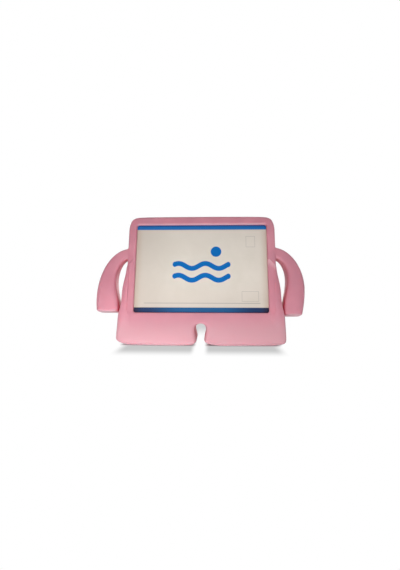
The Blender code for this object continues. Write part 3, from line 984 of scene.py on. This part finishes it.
def foam_material():
    """Moulded foam rubber: an even pink skin with fine pores and a faint waviness."""
    material, graph, shader = new_material("pink_foam")
    place = graph.node("ShaderNodeTexCoord").outputs["Object"]
    clouds = graph.noise(place, *FOAM_CLOUDS)
    specks = graph.noise(place, *FOAM_SPECKS)
    pored = graph.stretch(specks, *FOAM_SPECK_RANGE, 0.0, FOAM_SPECK_SHARE)
    colour = graph.mix(pored, foam_colour(graph, place, clouds), linear(*FOAM_PORE))
    graph.feed(shader.inputs["Base Color"], colour)

    smoothest = FOAM_ROUGHNESS - FOAM_ROUGHNESS_SPREAD / 2
    rough = graph.math("MULTIPLY_ADD", clouds, FOAM_ROUGHNESS_SPREAD, smoothest)
    rough = graph.math("MULTIPLY_ADD", specks, FOAM_ROUGHNESS_SPREAD, rough)
    graph.feed(shader.inputs["Roughness"], rough)

    pores = graph.node("ShaderNodeTexVoronoi", {"feature": "F1"}, Vector=place, Scale=FOAM_PORE_SCALE)
    dents = graph.stretch(pores.outputs["Distance"], 0.0, FOAM_PORE_RADIUS)
    grain = graph.math("MULTIPLY_ADD", dents, FOAM_PORE_DEPTH, graph.noise(place, *FOAM_GRAIN))
    fine = graph.bump(*FOAM_GRAIN_BUMP, grain)
    soft = graph.bump(*FOAM_WAVINESS_BUMP, graph.noise(place, *FOAM_WAVINESS), Normal=fine)
    graph.feed(shader.inputs["Normal"], soft)

    shader.inputs["Specular IOR Level"].default_value = FOAM_SPECULAR
    shader.inputs["Subsurface Weight"].default_value = FOAM_SUBSURFACE
    shader.inputs["Subsurface Radius"].default_value = FOAM_SUBSURFACE_COLOURS
    shader.inputs["Subsurface Scale"].default_value = FOAM_SUBSURFACE_DEPTH
    return material


def box_distance(graph, across, up, centre, half):
    """Signed distance outside an upright rectangle."""
    sides = []
    for socket, middle, reach in zip((across, up), centre, half):
        off = graph.math("ABSOLUTE", graph.math("SUBTRACT", socket, middle))
        sides.append(graph.math("SUBTRACT", off, reach))
    return graph.math("MAXIMUM", *sides)


def wave_distance(graph, across, up, height):
    """Distance outside a round-ended stroke that follows a wave at a height."""
    pace = 2 * pi / WAVE_PERIOD
    start, end = WAVE_SPAN
    held = graph.math("MAXIMUM", graph.math("MINIMUM", across, end), start)
    turn = graph.math("MULTIPLY_ADD", held, pace, WAVE_PHASE)
    crest = graph.math("MULTIPLY_ADD", graph.math("SINE", turn), WAVE_RISE, height)
    slope = graph.math("MULTIPLY", graph.math("COSINE", turn), WAVE_RISE * pace)
    length = graph.math("SQRT", graph.math("MULTIPLY_ADD", slope, slope, 1.0))
    off = graph.math("DIVIDE", graph.math("SUBTRACT", up, crest), length)
    beyond = graph.math("SUBTRACT", across, held)
    squares = graph.math("ADD", graph.math("MULTIPLY", off, off), graph.math("MULTIPLY", beyond, beyond))
    return graph.math("SUBTRACT", graph.math("SQRT", squares), WAVE_HALF_WEIGHT)


def card_stock(graph, across, up, place, fibre):
    """Warm beige, flecked with fibres, with painted shade towards the top, at the left, at the foot and at
    the window's rim.
    """
    clouds = graph.noise(place, *CARD_CLOUDS)
    stock = graph.mix(graph.stretch(clouds, *CARD_CLOUD_RANGE), linear(*CARD_DARK), linear(*CARD_LIGHT))
    border = box_distance(graph, across, up, WINDOW_MIDDLE, WINDOW_HALF)
    # All these tints but the fibres are painted shade
    for value, marks, shares, tint in (
        (up, CARD_TOP_SHADE_RANGE, (0.0, CARD_TOP_SHADE_SHARE), CARD_TOP_SHADE),
        (fibre, CARD_FIBRE_RANGE, (0.0, CARD_FIBRE_SHARE), CARD_FIBRE),
        (across, CARD_PAINTED_SHADE_ASIDE, (CARD_PAINTED_SHADE_ASIDE_SHARE, 0.0), CARD_PAINTED_SHADE),
        (up, CARD_PAINTED_SHADE_LOW, (CARD_PAINTED_SHADE_LOW_SHARE, 0.0), CARD_PAINTED_SHADE),
        (border, (-CARD_RIM_SHADE_REACH, 0.0), (0.0, CARD_RIM_SHADE_SHARE), CARD_RIM_SHADE),
    ):
        stock = graph.mix(graph.stretch(value, *marks, *shares), stock, linear(*tint))
    return stock


def add_thin_lines(graph, across, up, stock):
    """The stock with the two empty boxes and the rule on it."""
    for centre, half in BOXES:
        ring = graph.math("ABSOLUTE", box_distance(graph, across, up, centre, half))
        line = graph.inside(graph.math("SUBTRACT", ring, BOX_LINE_HALF), LINE_SOFTNESS)
        stock = graph.mix(graph.math("MULTIPLY", line, BOX_LINE_SHARE), stock, linear(*LINE_GREY))
    rule = graph.inside(box_distance(graph, across, up, RULE_CENTRE, RULE_HALF), LINE_SOFTNESS)
    return graph.mix(graph.math("MULTIPLY", rule, RULE_SHARE), stock, linear(*LINE_GREY))


def picture_mask(graph, sheet, across, up):
    """1 on the sun and on the two waves."""
    middle = (UV_SCALE * SUN[0], UV_SCALE * SUN[1], 0.0)
    away = graph.vector("DISTANCE", sheet, middle)["Value"]
    mask = graph.inside(graph.math("MULTIPLY_ADD", away, 1 / UV_SCALE, -SUN_RADIUS), PRINT_SOFTNESS)
    for height in WAVE_HEIGHTS:
        wave = graph.inside(wave_distance(graph, across, up, height), PRINT_SOFTNESS)
        mask = graph.math("MAXIMUM", mask, wave)
    return mask


def card_material():
    """Printed card: warm beige stock with blue bands, a sun over two waves, and faint outlines, with
    painted shade on the stock and the bands.
    """
    material, graph, shader = new_material("printed_card")
    sheet = graph.node("ShaderNodeUVMap", {"uv_map": "sheet"}).outputs[0]
    across, up = (graph.math("DIVIDE", socket, UV_SCALE) for socket in graph.split(sheet)[:2])
    place = graph.node("ShaderNodeTexCoord").outputs["Object"]
    fibre = graph.noise(place, *CARD_FIBRES)
    stock = add_thin_lines(graph, across, up, card_stock(graph, across, up, place, fibre))
    picture = picture_mask(graph, sheet, across, up)
    colour = graph.mix(picture, stock, linear(*PRINT_BLUE))

    top = graph.inside(graph.math("SUBTRACT", TOP_BAND_EDGE, up), PRINT_SOFTNESS)
    # Painted shade on the top band, just under the lip
    top_lip_shade = graph.stretch(up, TOP_BAND_EDGE + TOP_BLUE_SHADE_RISE, WINDOW_TOP)
    colour = graph.mix(top, colour, graph.mix(top_lip_shade, linear(*TOP_BLUE), linear(*TOP_BLUE_SHADE)))

    bottom = graph.inside(graph.math("SUBTRACT", up, BOTTOM_BAND_EDGE), PRINT_SOFTNESS)
    # The foot band: print blue under painted shade, deepest at its ends
    reach = graph.math("ABSOLUTE", across)
    side = graph.stretch(reach, *BOTTOM_BLUE_SHADED_SIDE_RANGE)
    blue = graph.mix(side, linear(*BOTTOM_BLUE_SHADED), linear(*BOTTOM_BLUE_SHADED_SIDE))
    blue = graph.mix(graph.stretch(reach, *BOTTOM_BLUE_SHADED_END_RANGE), blue, linear(*BOTTOM_BLUE_SHADED_END))
    colour = graph.mix(bottom, colour, blue)
    graph.feed(shader.inputs["Base Color"], colour)

    inked = graph.math("MAXIMUM", picture, graph.math("MAXIMUM", top, bottom))
    rough = graph.math("MULTIPLY_ADD", inked, -INK_GLOSS, CARD_ROUGHNESS)
    graph.feed(shader.inputs["Roughness"], rough)
    relief = graph.math("MULTIPLY_ADD", inked, INK_RELIEF, fibre)
    graph.feed(shader.inputs["Normal"], graph.bump(*CARD_BUMP, relief))
    shader.inputs["Specular IOR Level"].default_value = CARD_SPECULAR
    return material


# The studio


def background_rays(graph):
    """1 for the rays that show the background: the camera's, reflected ones and those let through."""
    path = graph.node("ShaderNodeLightPath").outputs
    seen = graph.math("MAXIMUM", path["Is Camera Ray"], path["Is Glossy Ray"])
    return graph.math("MAXIMUM", seen, path["Is Transmission Ray"])


def floor_shade(graph, aside, along):
    """How deep the two soft painted shadows on the floor are: behind the feet, and in front of them."""
    behind = graph.product(
        graph.stretch(along, *BEHIND_START),
        graph.stretch(along, *BEHIND_END, 1.0, 0.0),
        graph.stretch(aside, *BEHIND_ASIDE, BEHIND_SHADE, 0.0),
    )
    front = graph.product(
        graph.stretch(along, *FRONT_START),
        graph.stretch(along, *BEHIND_START, 1.0, 0.0),
        graph.stretch(aside, *FRONT_ASIDE, FRONT_SHADE, 0.0),
        graph.stretch(aside, *GAP_LIT),
    )
    return behind, front


def floor_material():
    """White floor that the camera sees as white, apart from the case's own shadow and the painted shadows
    on it.
    """
    material, graph, shader = new_material("studio_floor")
    seen = background_rays(graph)
    graph.feed(shader.inputs["Base Color"], graph.mix(seen, grey(FLOOR_TONE), grey(FLOOR_SEEN)))
    shader.inputs["Roughness"].default_value = FLOOR_ROUGHNESS
    shader.inputs["Specular IOR Level"].default_value = 0.0

    place = graph.node("ShaderNodeTexCoord").outputs["Object"]
    outside = graph.vector("SUBTRACT", graph.vector("ABSOLUTE", place)[0], (*FLOOR_SHADE_HALF, 0.0))[0]
    away = graph.vector("LENGTH", graph.vector("MAXIMUM", outside, (0.0, 0.0, 0.0))[0])["Value"]
    across, along, _ = graph.split(place)
    aside = graph.math("ABSOLUTE", across)
    behind, front = floor_shade(graph, aside, along)
    light = graph.math("SUBTRACT", graph.math("SUBTRACT", 1.0, behind), front)
    plain = graph.node("ShaderNodeEmission", Color=grey(1.0), Strength=light)
    in_gap = graph.stretch(aside, *GAP_LIT, 1.0, 0.0)
    lit = graph.math("MAXIMUM", graph.stretch(away, *FLOOR_LIT), in_gap)
    mixed = graph.node("ShaderNodeMixShader", Fac=graph.math("MULTIPLY", seen, lit))
    graph.feed(mixed.inputs[1], shader.outputs[0])
    graph.feed(mixed.inputs[2], plain.outputs[0])
    graph.feed(graph.tree.nodes["Material Output"].inputs["Surface"], mixed.outputs[0])
    return material


def make_floor():
    bm = bmesh.new()
    bmesh.ops.create_circle(bm, cap_ends=True, radius=FLOOR_RADIUS, segments=FLOOR_SIDES)
    mesh = bpy.data.meshes.new("floor")
    bm.to_mesh(mesh)
    bm.free()
    mesh.materials.append(floor_material())
    floor = add_object("floor", mesh)
    floor.location.z = -FLOOR_GAP


def make_world():
    world = bpy.data.worlds.new("studio")
    world.use_nodes = True
    tree = world.node_tree
    graph = Graph(tree)
    background = tree.nodes["Background"]
    background.inputs["Color"].default_value = grey(1.0)
    light = graph.stretch(background_rays(graph), 0.0, 1.0, WORLD_LIGHT, 1.0, smooth=False)
    graph.feed(background.inputs["Strength"], light)
    bpy.context.scene.world = world


def make_lamp(name, place, aim, sides, power, spread):
    data = bpy.data.lights.new(name, "AREA")
    data.shape = "RECTANGLE"
    data.size, data.size_y = sides
    data.energy = power
    data.spread = radians(spread)
    lamp = bpy.data.objects.new(name, data)
    bpy.context.scene.collection.objects.link(lamp)
    lamp.location = place
    lamp.rotation_euler = (Vector(aim) - Vector(place)).to_track_quat("-Z", "Y").to_euler()
    lamp.visible_camera = False


def make_camera():
    data = bpy.data.cameras.new("camera")
    data.sensor_fit = "VERTICAL"
    data.sensor_height = SENSOR
    data.lens = SENSOR * FOCAL_PIXELS / PICTURE_HEIGHT
    data.shift_x = (PICTURE_WIDTH / 2 - CENTRE_PIXEL[0]) / PICTURE_HEIGHT
    data.shift_y = (CENTRE_PIXEL[1] - PICTURE_HEIGHT / 2) / PICTURE_HEIGHT
    camera = bpy.data.objects.new("camera", data)
    bpy.context.scene.collection.objects.link(camera)
    camera.location = CAMERA_PLACE
    camera.rotation_euler = (pi / 2 - CAMERA_DIP, 0.0, CAMERA_TURN)
    bpy.context.scene.camera = camera


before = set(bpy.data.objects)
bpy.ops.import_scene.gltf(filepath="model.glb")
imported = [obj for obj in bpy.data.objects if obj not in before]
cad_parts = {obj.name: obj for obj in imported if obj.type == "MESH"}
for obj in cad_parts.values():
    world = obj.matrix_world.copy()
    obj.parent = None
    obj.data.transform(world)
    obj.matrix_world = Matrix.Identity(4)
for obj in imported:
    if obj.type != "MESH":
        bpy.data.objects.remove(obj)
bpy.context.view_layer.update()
bpy.context.scene.view_settings.view_transform = "Standard"
make_camera()
make_world()
make_floor()
for lamp in LAMPS:
    make_lamp(*lamp)
make_case(foam_material())
make_card(card_material())
